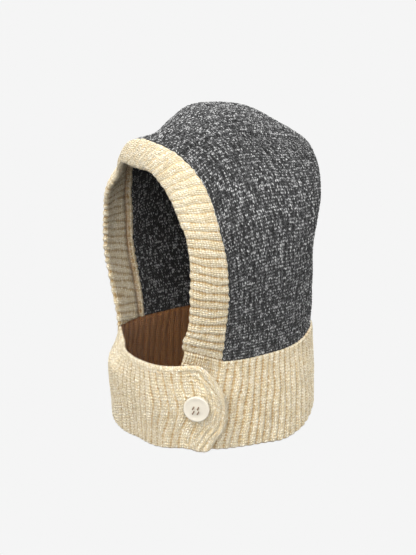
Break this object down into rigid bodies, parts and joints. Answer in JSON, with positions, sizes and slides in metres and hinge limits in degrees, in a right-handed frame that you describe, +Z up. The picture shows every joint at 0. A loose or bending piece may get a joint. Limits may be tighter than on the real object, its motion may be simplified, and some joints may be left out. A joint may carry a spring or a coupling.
{
  "type": "knit balaclava",
  "caption": "Hooded knit balaclava in grey marl with a cream ribbed face band and a cream ribbed collar whose front flap buttons over at the side of the throat",
  "frame": {"origin": "the inside of the crown, where the hood sits on the head that carries it", "axes": "+Z up out of the crown, -Y out of the face opening, +X to the wearer's left, the side that buttons"},
  "size_m": [0.1948, 0.2128, 0.3237],
  "materials": {
    "grey_marl_knit": "matt wool blend knit, grey marl",
    "cream_rib_knit": "matt wool blend rib knit, cream",
    "white_button": "soft gloss, off-white",
    "cream_thread": "matt sewing thread"
  },
  "bodies": {
    "root": {"hood_shell": "grey_marl_knit", "face_trim": "cream_rib_knit", "neck_collar": "cream_rib_knit", "front_flap": "cream_rib_knit", "button": "white_button", "button_thread": "cream_thread"}
  },
  "joints": []
}
